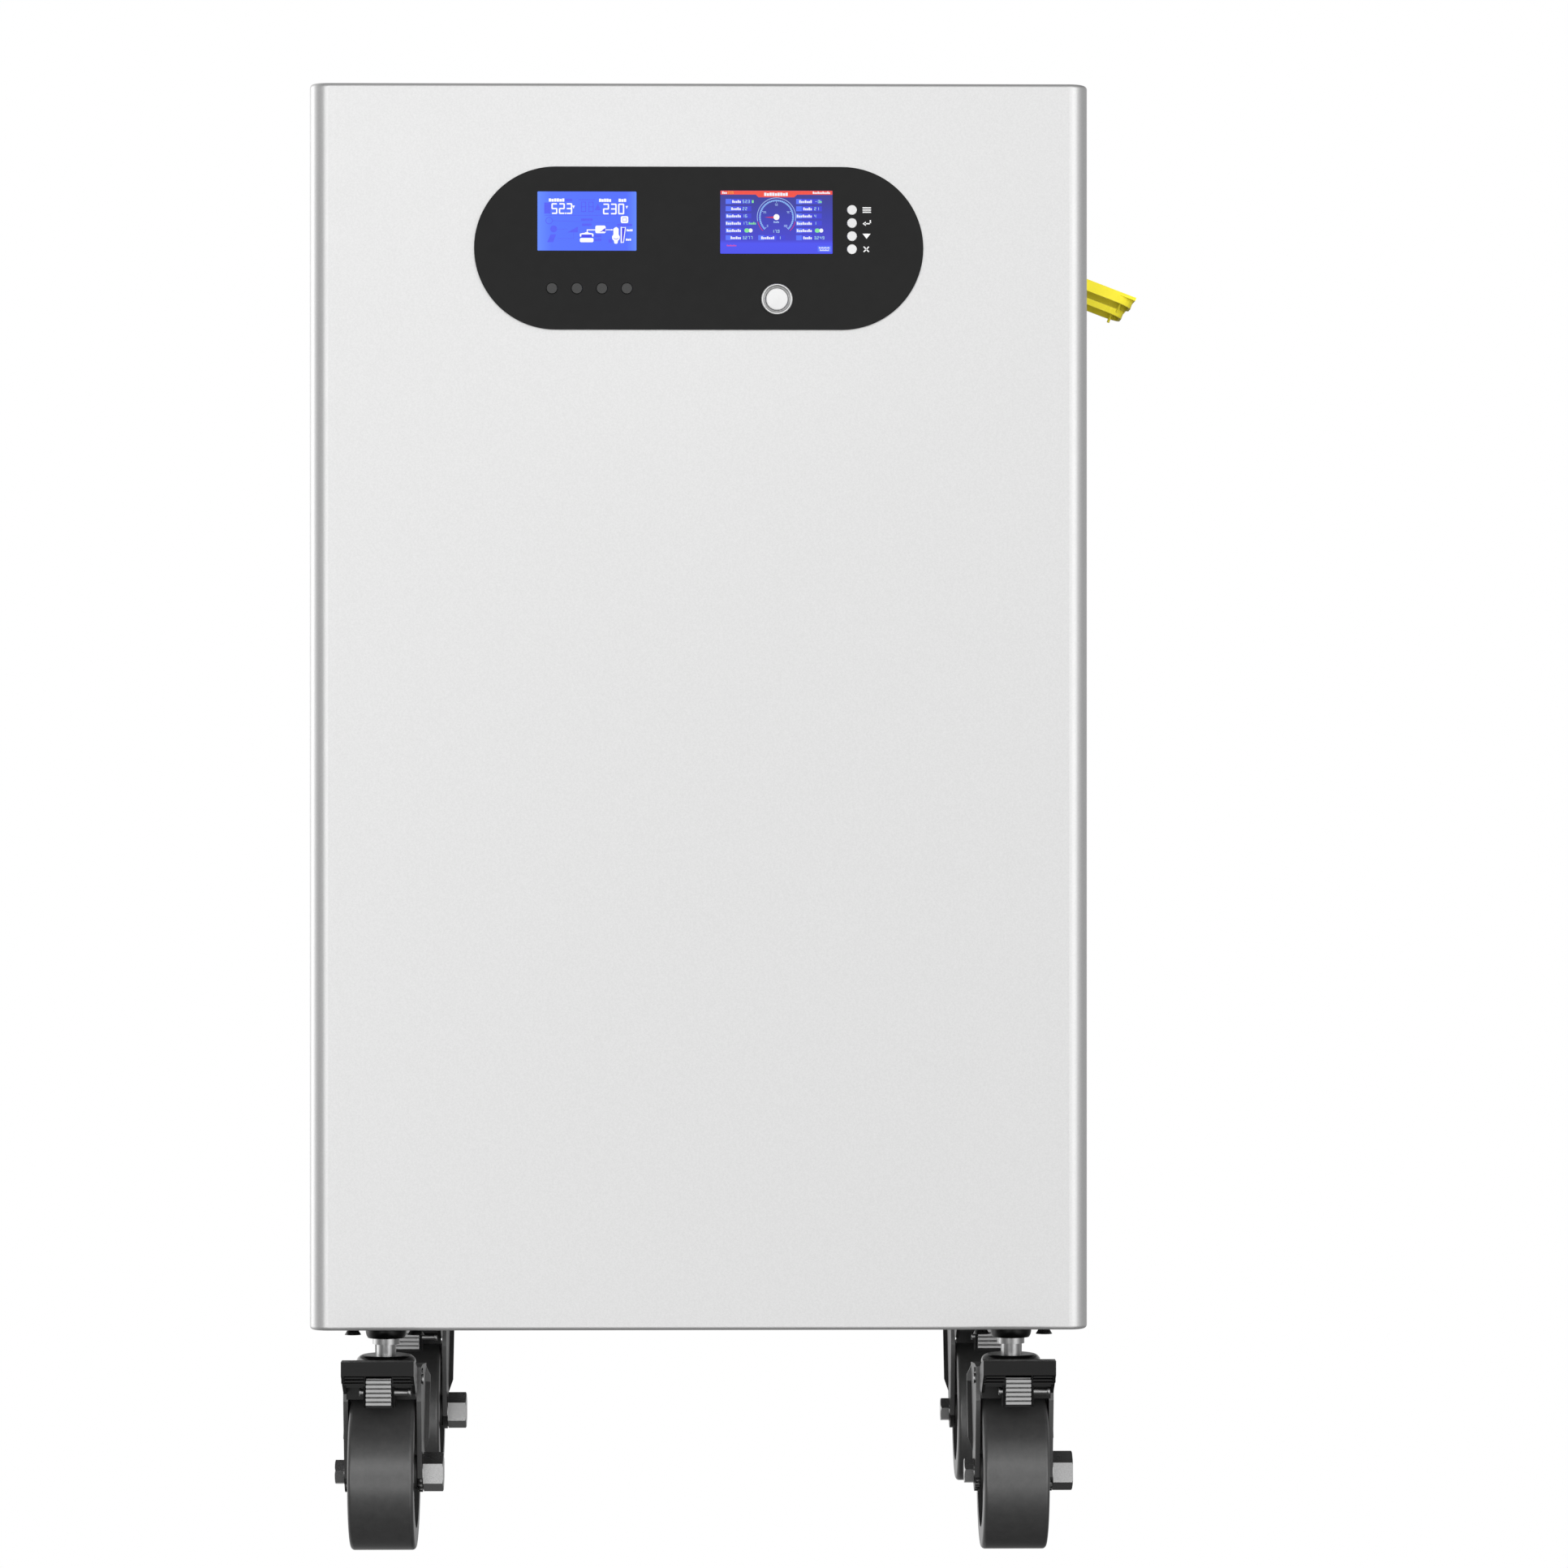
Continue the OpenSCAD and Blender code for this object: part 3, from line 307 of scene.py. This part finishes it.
class Drawing:
    """Thin marks of one colour on the front. Shapes are in millimetres from a middle, X right and Y up."""

    def __init__(self, name, material, middle, surface_y, layer=1):
        self.name, self.material, self.middle = name, material, middle
        self.back = surface_y - MARK_STEP * layer
        self.outlines = []

    def polygon(self, points):
        self.outlines.append(points)

    def rectangle(self, x0, y0, x1, y1, radius=0.0):
        if not radius:
            self.polygon([(x0, y0), (x1, y0), (x1, y1), (x0, y1)])
            return
        corners = [(x1 - radius, y1 - radius), (x0 + radius, y1 - radius),
                   (x0 + radius, y0 + radius), (x1 - radius, y0 + radius)]
        steps = 5
        points = []
        for quarter, (cx, cy) in enumerate(corners):
            for k in range(steps):
                a = math.pi / 2 * (quarter + k / (steps - 1))
                points.append(polar(cx, cy, radius, a))
        self.polygon(points)

    def disc(self, x, y, radius, sides=32):
        self.polygon([polar(x, y, radius, 2 * math.pi * k / sides) for k in range(sides)])

    def arc(self, x, y, inner, outer, start, end, steps=48):
        """A ring sector from start to end degrees, anticlockwise from the right."""
        angles = [math.radians(start + (end - start) * k / steps) for k in range(steps + 1)]
        for a, b in zip(angles, angles[1:]):
            self.polygon([polar(x, y, inner, a), polar(x, y, outer, a),
                          polar(x, y, outer, b), polar(x, y, inner, b)])

    def line(self, points, width):
        for (ax, ay), (bx, by) in zip(points, points[1:]):
            length = math.hypot(bx - ax, by - ay)
            ux, uy = (bx - ax) / length * width / 2, (by - ay) / length * width / 2
            ax, ay, bx, by = ax - ux, ay - uy, bx + ux, by + uy
            self.polygon([(ax + uy, ay - ux), (bx + uy, by - ux), (bx - uy, by + ux), (ax - uy, ay + ux)])

    def frame(self, x0, y0, x1, y1, width):
        inset = width / 2
        self.line([(x0 + inset, y0 + inset), (x1 - inset, y0 + inset)], width)
        self.line([(x0 + inset, y1 - inset), (x1 - inset, y1 - inset)], width)
        self.line([(x0 + inset, y0 + 2 * width), (x0 + inset, y1 - 2 * width)], width)
        self.line([(x1 - inset, y0 + 2 * width), (x1 - inset, y1 - 2 * width)], width)

    def number(self, text, x, y, width, height, pitch, stroke):
        """Seven-segment digits with their lower left corner at x, y."""
        half, s, gap = height / 2, stroke / 2, stroke * 0.4
        for character in text:
            if character == ".":
                self.disc(x - (pitch - width) / 2, y + s, stroke * 0.6, 12)
                continue
            left, right, bottom, middle, top = x + s, x + width - s, y + s, y + half, y + height - s
            places = {"a": ((left, top), (right, top)), "b": ((right, top), (right, middle)),
                      "c": ((right, middle), (right, bottom)), "d": ((left, bottom), (right, bottom)),
                      "e": ((left, middle), (left, bottom)), "f": ((left, top), (left, middle)),
                      "g": ((left, middle), (right, middle))}
            for key in SEGMENTS[character]:
                (ax, ay), (bx, by) = places[key]
                if ay == by:
                    self.line([(ax + gap, ay), (bx - gap, by)], stroke)
                else:
                    self.line([(ax, ay - gap), (bx, by + gap)], stroke)
            x += pitch

    def words(self, x0, x1, y, height, tall=False):
        """A run of blocks that stands for a word, from x0 to x1 about the line y. Tall ones are capitals."""
        count = max(1, round((x1 - x0) / (height * (0.8 if tall else 0.62))))
        pitch = (x1 - x0) / count
        bottom, top = y - height / 2, y + height / 2
        for k in range(count):
            x = x0 + k * pitch
            if tall:
                self.rectangle(x, bottom, x + 0.84 * pitch, top if k % 3 != 1 else top - 0.14 * height)
                continue
            self.rectangle(x, bottom, x + 0.78 * pitch, bottom + (0.94 if k % 3 == 0 else 0.66) * height)

    def build(self):
        bm = bmesh.new()
        cx, cz = self.middle
        for outline in self.outlines:
            places = [(cx + x * MM, cz + y * MM) for x, y in outline]
            front = [bm.verts.new((x, self.back - MARK_THICKNESS, z)) for x, z in places]
            back = [bm.verts.new((x, self.back, z)) for x, z in places]
            bm.faces.new(front)
            bm.faces.new(back[::-1])
            for k in range(len(front)):
                n = (k + 1) % len(front)
                bm.faces.new((front[n], front[k], back[k], back[n]))
        bmesh.ops.recalc_face_normals(bm, faces=bm.faces)
        mesh = bpy.data.meshes.new(self.name)
        bm.to_mesh(mesh)
        bm.free()
        mesh.materials.append(self.material)
        piece = bpy.data.objects.new(self.name, mesh)
        bpy.context.scene.collection.objects.link(piece)
        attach(piece, "cabinet")
        return piece


def draw_lcd():
    """Segment display: two numbers, their captions, and a battery, inverter and lamp joined by lines."""
    middle = (PANEL_X + LCD_AT[0] * MM, PANEL_Z + LCD_AT[1] * MM)
    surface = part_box("inverter_display")[0].y

    ghost = Drawing("lcd_unlit_marks", glowing("lcd_unlit", linear(88, 98, 250)), middle, surface)
    ghost.rectangle(-27.3, 4.7, -23.3, 11.8)
    ghost.rectangle(-14.0, 12.6, -9.4, 14.2)
    ghost.number("88", -3.8, 5.8, 3.3, 6.6, 4.8, 0.5)
    ghost.line([(-5.4, 13.6), (5.0, 13.6)], 0.4)
    ghost.line([(-27, 3.6), (20, 3.6)], 0.25)
    ghost.polygon([(5.0, 7.0), (9.0, 7.0), (7.0, 11.2)])
    ghost.arc(-24.2, 0.2, 1.9, 2.3, 0, 360)
    ghost.disc(-21.3, -5.1, 2.2)
    ghost.polygon([(-25.4, -13.6), (-21.6, -13.6), (-19.8, -8.6), (-23.2, -8.6)])
    ghost.polygon([(-12.4, -7.3), (-5.8, -7.3), (-5.8, -3.6)])
    ghost.line([(-21.8, 0.2), (15, -1.2)], 0.2)
    ghost.line([(-18.6, -5.2), (-12.6, -5.2)], 0.2)
    ghost.line([(-18.8, -11.3), (-8.6, -11.3), (-8.6, -8.0)], 0.2)
    ghost.rectangle(-3.8, 0.2, 3.7, 1.6)
    ghost.rectangle(-3.2, -3.2, 2.9, -1.6)
    ghost.rectangle(19.4, -3.2, 28.9, -1.8)
    ghost.rectangle(4.8, -10.4, 9.2, -8.8)
    ghost.rectangle(13.9, -13.9, 15.9, -11.7)
    ghost.words(4.8, 9.4, -12.1, 1.6, tall=True)
    ghost.build()

    white = glowing("lcd_lit", (1, 1, 1, 1), 1.1)
    lit = Drawing("lcd_lit_marks", white, middle, surface, layer=2)
    lit.words(-24.4, -14.2, 13.4, 2.0, tall=True)
    lit.words(7.8, 15.7, 13.3, 2.0, tall=True)
    lit.words(20.3, 25.4, 13.3, 2.0, tall=True)
    lit.number("52.3", -22.7, 4.5, 3.8, 6.9, 4.75, 0.85)
    lit.number("230", 10.3, 4.3, 3.9, 6.9, 4.85, 0.85)
    lit.polygon([(-9.4, 9.9), (-8.6, 8.0), (-7.7, 9.9)])
    lit.polygon([(24.8, 9.7), (25.5, 7.8), (26.3, 9.7)])
    lit.rectangle(21.7, -1.3, 26.5, 3.1, 0.9)
    lit.rectangle(-4.5, -13.6, 4.2, -10.9, 0.9)
    lit.rectangle(-4.5, -10.0, -3.6, -8.0, 0.4)
    lit.rectangle(3.3, -10.0, 4.2, -8.0, 0.4)
    lit.polygon([(-4.2, -8.6), (4.0, -8.6), (3.2, -7.8), (1.2, -7.6),
                 (0.8, -7.2), (-1.0, -7.2), (-1.4, -7.6), (-3.4, -7.8)])
    lit.line([(0.2, -7.0), (0.2, -5.7), (5.3, -5.7)], 0.6)
    lit.rectangle(5.4, -7.8, 12.0, -2.9, 1.0)
    lit.line([(12.4, -5.6), (16.6, -5.6)], 0.45)
    lit.polygon([(15.6, -6.1), (16.6, -5.6), (15.6, -5.1)])
    lit.polygon([(17.0, -8.6), (17.0, -5.0), (17.9, -4.2), (18.7, -3.8), (19.5, -4.2), (20.3, -5.0),
                 (20.3, -8.6), (21.1, -10.0), (20.9, -11.6), (19.9, -12.6), (19.7, -14.0), (19.2, -14.5),
                 (18.0, -14.5), (17.5, -14.0), (17.3, -12.6), (16.3, -11.6), (16.1, -10.0)])
    lit.line([(22.0, -4.1), (22.0, -13.7)], 0.7)
    lit.line([(24.7, -4.1), (23.4, -13.7)], 0.5)
    lit.line([(22.0, -4.1), (24.7, -4.1)], 0.3)
    lit.line([(22.0, -13.7), (23.4, -13.7)], 0.3)
    lit.words(25.4, 29.4, -5.9, 1.3, tall=True)
    lit.words(25.0, 28.4, -11.9, 1.3, tall=True)
    lit.build()

    blue = glowing("lcd_icon_blue", linear(72, 72, 238))
    cut = Drawing("lcd_icon_cut_outs", blue, middle, surface, layer=3)
    cut.polygon([(9.2, -6.3), (11.8, -7.0), (11.8, -4.4)])
    cut.polygon([(7.8, -7.0), (10.2, -7.0), (9.4, -6.5)])
    cut.frame(22.7, -0.3, 25.5, 2.1, 0.3)
    cut.line([(17.3, -11.0), (18.1, -11.6), (19.2, -11.6), (20.0, -11.0)], 0.35)
    cut.rectangle(-3.6, -10.4, 3.3, -8.9)
    cut.polygon([(22.5, -4.5), (24.2, -4.5), (23.3, -12.9), (22.5, -12.9)])
    cut.build()


def draw_gauge(middle, surface):
    """Round charge gauge: a thin arc that reddens at its ends, ticks, small numbers, needle and hub."""
    x, y = 0.0, 3.2
    start, sweep, ticks = -45, 270, 61
    pale_blue = glowing("screen_pale", linear(176, 206, 255))
    pale = Drawing("screen_gauge_pale", pale_blue, middle, surface, layer=2)
    pale.arc(x, y, 12.15, 12.5, -12, 192)
    for k in range(ticks):
        a = math.radians(start + sweep * k / (ticks - 1))
        inner = 9.4 if k % 15 == 0 else 10.2
        pale.line([polar(x, y, inner, a), polar(x, y, 11.1, a)], 0.3)
    for k, value in enumerate(("100", "75", "50", "25", "0")):
        middle_x, middle_y = polar(x, y, 8.0, math.radians(start + sweep / 4 * k))
        width = 0.9 * len(value)
        pale.number(value, middle_x - width / 2, middle_y - 0.7, 0.7, 1.4, 0.95, 0.2)
    pale.words(x - 1.8, x + 1.8, 0.1, 1.2)
    pale.build()

    cyan = Drawing("screen_gauge_band", glowing("screen_cyan", linear(96, 170, 250)), middle, surface)
    cyan.arc(x, y, 10.35, 10.95, start, start + sweep, 90)
    cyan.build()

    needle_red = glowing("screen_needle", linear(214, 50, 90))
    red = Drawing("screen_gauge_red", needle_red, middle, surface, layer=3)
    red.arc(x, y, 12.15, 12.5, start, -14, 12)
    red.arc(x, y, 12.15, 12.5, 194, start + sweep, 12)
    red.polygon([(x - 7.7, y - 0.1), (x - 1.0, y - 0.9), (x - 1.0, y + 0.5)])
    red.build()

    hub = Drawing("screen_gauge_hub", glowing("screen_white", (1, 1, 1, 1)), middle, surface, layer=4)
    hub.disc(x, y, 1.9)
    hub.build()


def draw_screen():
    """Colour display: header with a tab, a gauge, label and value rows, switches and a key."""
    middle = (PANEL_X + TFT_AT[0] * MM, PANEL_Z + TFT_AT[1] * MM)
    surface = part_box("battery_display")[0].y
    half_w, half_h = TFT_SIZE[0] / 2, TFT_SIZE[1] / 2
    rows = [13.2 - 4.65 * k for k in range(6)]
    left, right = -32.6, 12.6

    header = Drawing("screen_header", glowing("screen_red", linear(244, 84, 72)), middle, surface)
    header.rectangle(-half_w + 0.2, half_h - 2.7, half_w - 0.2, half_h - 0.2)
    header.polygon([(-13.3, half_h - 2.7), (-11.5, half_h - 4.4), (11.3, half_h - 4.4), (13.2, half_h - 2.7)])
    header.build()

    # Each row's bar is bright at its tip, plain in the middle and dim at its end.
    bars = Drawing("screen_row_bars", glowing("screen_bar", linear(74, 82, 236)), middle, surface)
    bright = glowing("screen_bar_tip", linear(92, 118, 255))
    tips = Drawing("screen_row_tips", bright, middle, surface, layer=2)
    dim = Drawing("screen_row_ends", glowing("screen_bar_end", linear(70, 72, 216)), middle, surface)
    half_bar = 1.6
    for y in rows:
        for x in (left, right):
            tips.rectangle(x, y - half_bar, x + 3.6, y + half_bar)
            bars.rectangle(x + 3.6, y - half_bar, x + 10, y + half_bar)
            dim.rectangle(x + 10, y - half_bar, x + 16.5, y + half_bar)
    tips.rectangle(-11.7, rows[5] - half_bar, -8.0, rows[5] + half_bar)
    bars.rectangle(-8.0, rows[5] - half_bar, 0, rows[5] + half_bar)
    dim.rectangle(0, rows[5] - half_bar, 5.4, rows[5] + half_bar)
    tips.rectangle(26.4, -19.0, 35.2, -15.2, 0.3)
    dim.build()
    bars.build()
    tips.build()

    text_white = glowing("screen_text", linear(244, 246, 255))
    white = Drawing("screen_white_marks", text_white, middle, surface, layer=3)
    # Where each row's label starts, on the left and on the right. The labels end in line.
    for y, start in zip(rows, (-28.4, -29.0, -32.0, -32.4, -32.0, -29.4)):
        white.words(start, -22.6, y, 1.9)
    for y, start in zip(rows, (14.6, 17.2, 13.0, 13.0, 13.0, 17.2)):
        white.words(start, 22.9, y, 1.9)
    white.words(-9.8, -1.2, rows[5], 1.9)
    white.words(-34.8, -31.6, half_h - 1.4, 1.7)
    white.words(-7.9, 7.5, half_h - 2.5, 2.1, tall=True)
    white.words(23.3, 34.6, half_h - 1.4, 1.6)
    white.words(27.2, 34.2, -16.4, 1.0)
    white.words(27.8, 33.8, -17.9, 1.0)
    for x in (-16.6, 28.7):
        white.disc(x, rows[4], 1.3)
    white.build()

    switch_green = glowing("screen_green", linear(140, 232, 160))
    green = Drawing("screen_green_marks", switch_green, middle, surface, layer=3)
    for x in (-20.6, 24.6):
        green.rectangle(x, rows[4] - 1.3, x + 3.2, rows[4] + 1.3, 1.2)
    green.words(-15.8, -14.3, rows[0], 1.9)
    green.words(-17.8, -13.0, rows[3], 1.7)
    green.words(27.4, 29.2, rows[0], 1.9)
    green.build()

    value_blue = glowing("screen_value", linear(170, 214, 236))
    values = Drawing("screen_values", value_blue, middle, surface, layer=3)
    readings = (("52.3", -21.8, rows[0]), ("22", -21.8, rows[1]), ("16", -21.8, rows[2]),
                ("17.", -21.8, rows[3]), ("3.277", -21.8, rows[5]), ("-0", 24.8, rows[0]),
                ("21", 24.2, rows[1]), ("4", 24.2, rows[2]), ("1", 24.2, rows[3]),
                ("3.249", 24.2, rows[5]), ("1", 1.4, rows[5]), ("17.9", -2.8, -5.9))
    for text, x, y in readings:
        values.number(text, x, y - 1.0, 1.2, 2.0, 1.75, 0.32)
    values.build()

    header_orange = glowing("screen_orange", linear(250, 160, 70))
    orange = Drawing("screen_orange_marks", header_orange, middle, surface, layer=3)
    orange.number("235", -31.2, half_h - 2.3, 1.0, 1.8, 1.35, 0.32)
    orange.build()

    footer_pink = glowing("screen_pink", linear(216, 84, 170))
    pink = Drawing("screen_pink_mark", footer_pink, middle, surface, layer=3)
    pink.words(-31.8, -25.6, -15.0, 1.1)
    pink.build()
    draw_gauge(middle, surface)


def draw_key_marks():
    """Printed pictograms beside the four white buttons: list, accept, down and leave."""
    m = Material("panel_print", Roughness=0.5)
    m.link(m.ramp(m.noise(900, 2), (0.3, grey(222)), (0.7, grey(236))), "Base Color")
    marks = Drawing("panel_key_marks", m.data, (PANEL_X, PANEL_Z), PANEL_FRONT)
    rows = [24.6 - 8.4 * k for k in range(4)]
    x, stroke = 105.0, 0.76
    for k in (-1, 0, 1):
        marks.rectangle(x, rows[0] + 1.4 * k - stroke / 2, x + 5.4, rows[0] + 1.4 * k + stroke / 2)
    marks.line([(x + 5.0, rows[1] + 1.6), (x + 5.0, rows[1] - 0.4), (x + 1.6, rows[1] - 0.4)], stroke)
    marks.polygon([(x, rows[1] - 0.4), (x + 2.1, rows[1] - 1.8), (x + 2.1, rows[1] + 1.0)])
    marks.polygon([(x, rows[2] + 1.6), (x + 2.6, rows[2] - 1.7), (x + 5.2, rows[2] + 1.6)])
    marks.line([(x + 1.0, rows[3] - 1.4), (x + 3.8, rows[3] + 1.4)], stroke)
    marks.line([(x + 1.0, rows[3] + 1.4), (x + 3.8, rows[3] - 1.4)], stroke)
    marks.build()


draw_lcd()
draw_screen()
draw_key_marks()


# ---------- stage, light and camera ----------

def for_the_eye_only(stage):
    """Keeps a stage piece out of reflections and shadows, and out of the light on the object."""
    for kind in ("diffuse", "glossy", "transmission", "volume_scatter", "shadow"):
        setattr(stage, "visible_" + kind, False)


def make_stage():
    """A wide white floor that the object stands on, inside a white dome."""
    m = Material("studio_white", Base_Color=(0, 0, 0, 1), Specular_IOR_Level=0.0, Roughness=1.0)
    m.shader.inputs["Emission Color"].default_value = (1, 1, 1, 1)
    m.shader.inputs["Emission Strength"].default_value = 1.0
    for name, radius, flat in (("floor", FLOOR_RADIUS, True), ("dome", DOME_RADIUS, False)):
        bm = bmesh.new()
        if flat:
            bmesh.ops.create_circle(bm, cap_ends=True, radius=radius, segments=64)
        else:
            bmesh.ops.create_uvsphere(bm, u_segments=48, v_segments=24, radius=radius)
        mesh = bpy.data.meshes.new(name)
        bm.to_mesh(mesh)
        bm.free()
        mesh.materials.append(m.data)
        piece = bpy.data.objects.new(name, mesh)
        bpy.context.scene.collection.objects.link(piece)
        for_the_eye_only(piece)


def make_world():
    """A soft studio as a pattern of brightness: bright in front, dimmer above and below, unlike sides."""
    world = bpy.data.worlds.new("studio")
    world.use_nodes = True
    w = Nodes(world.node_tree)
    direction = w.add("ShaderNodeTexCoord").outputs["Generated"]
    axes = w.add("ShaderNodeSeparateXYZ", {"Vector": direction}).outputs

    def brightness(fac, *stops):
        return w.ramp(fac, *[(place, (v, v, v, 1)) for place, v in stops])

    # From straight in front (0) through the sides (0.5) to straight behind (1).
    away = w.spread(axes["Y"], 0, 1, -1, 1)
    left = brightness(away, (0, 0.8), (0.004, 0.85), (0.012, 2.9), (0.032, 2.3), (0.06, 0.75),
                      (0.1, 0.42), (0.16, 0.34), (0.24, 0.34), (0.32, 0.38), (0.42, 0.75),
                      (0.54, 1.6), (0.66, 2.7), (0.76, 2.7), (0.88, 1.3), (1, 0.9))
    right = brightness(away, (0, 0.8), (0.004, 0.9), (0.013, 1.35), (0.047, 1.98), (0.095, 2.3),
                       (0.146, 2.15), (0.21, 1.38), (0.3, 0.68), (0.4, 0.4), (0.5, 0.32),
                       (0.62, 0.32), (0.77, 0.4), (1, 0.6))
    # From straight down (0) through level (0.5) to straight up (1).
    upward = w.spread(axes["Z"], 0, 1, -1, 1)
    height = brightness(upward, (0, 0.04), (0.08, 0.06), (0.146, 0.15), (0.25, 0.3), (0.4, 0.76),
                        (0.45, 0.85), (0.5, 0.97), (0.56, 0.98), (0.65, 0.82), (0.75, 0.52),
                        (0.85, 0.3), (0.93, 0.16), (1, 0.2))
    side = w.spread(axes["X"], 0, 1, -0.1, 0.1)
    sides = w.add("ShaderNodeMixRGB", {"Fac": side, "Color1": left, "Color2": right})
    light = w.add("ShaderNodeMixRGB", {"Color1": sides.outputs["Color"], "Color2": height},
                  {"blend_type": "MULTIPLY"}, Fac=1.0)
    background = world.node_tree.nodes["Background"]
    world.node_tree.links.new(light.outputs["Color"], background.inputs["Color"])
    bpy.context.scene.world = world


def make_key_light():
    """A wide soft light from the front that adds no reflection of its own."""
    lamp = bpy.data.lights.new("key", "AREA")
    lamp.shape = "RECTANGLE"
    lamp.size = lamp.size_y = KEY_SIZE
    lamp.energy = KEY_POWER
    key = bpy.data.objects.new("key", lamp)
    key.location = (CENTRE_X, -KEY_DISTANCE, KEY_HEIGHT)
    key.rotation_euler = (math.radians(90), 0, 0)
    key.visible_camera = key.visible_glossy = False
    bpy.context.scene.collection.objects.link(key)


def make_camera():
    """A long lens level with the cabinet's middle, turned a little to its right."""
    lens = bpy.data.cameras.new("camera")
    lens.sensor_width = CAMERA_SENSOR
    lens.lens = CAMERA_LENS
    camera = bpy.data.objects.new("camera", lens)
    camera.location = (CENTRE_X, SHELL_LO.y - CAMERA_DISTANCE, CAMERA_HEIGHT)
    camera.rotation_euler = (math.radians(90), 0, math.radians(-CAMERA_TURN))
    bpy.context.scene.collection.objects.link(camera)
    bpy.context.scene.camera = camera
    bpy.context.scene.view_settings.view_transform = "Standard"


make_camera()
make_stage()
make_world()
make_key_light()
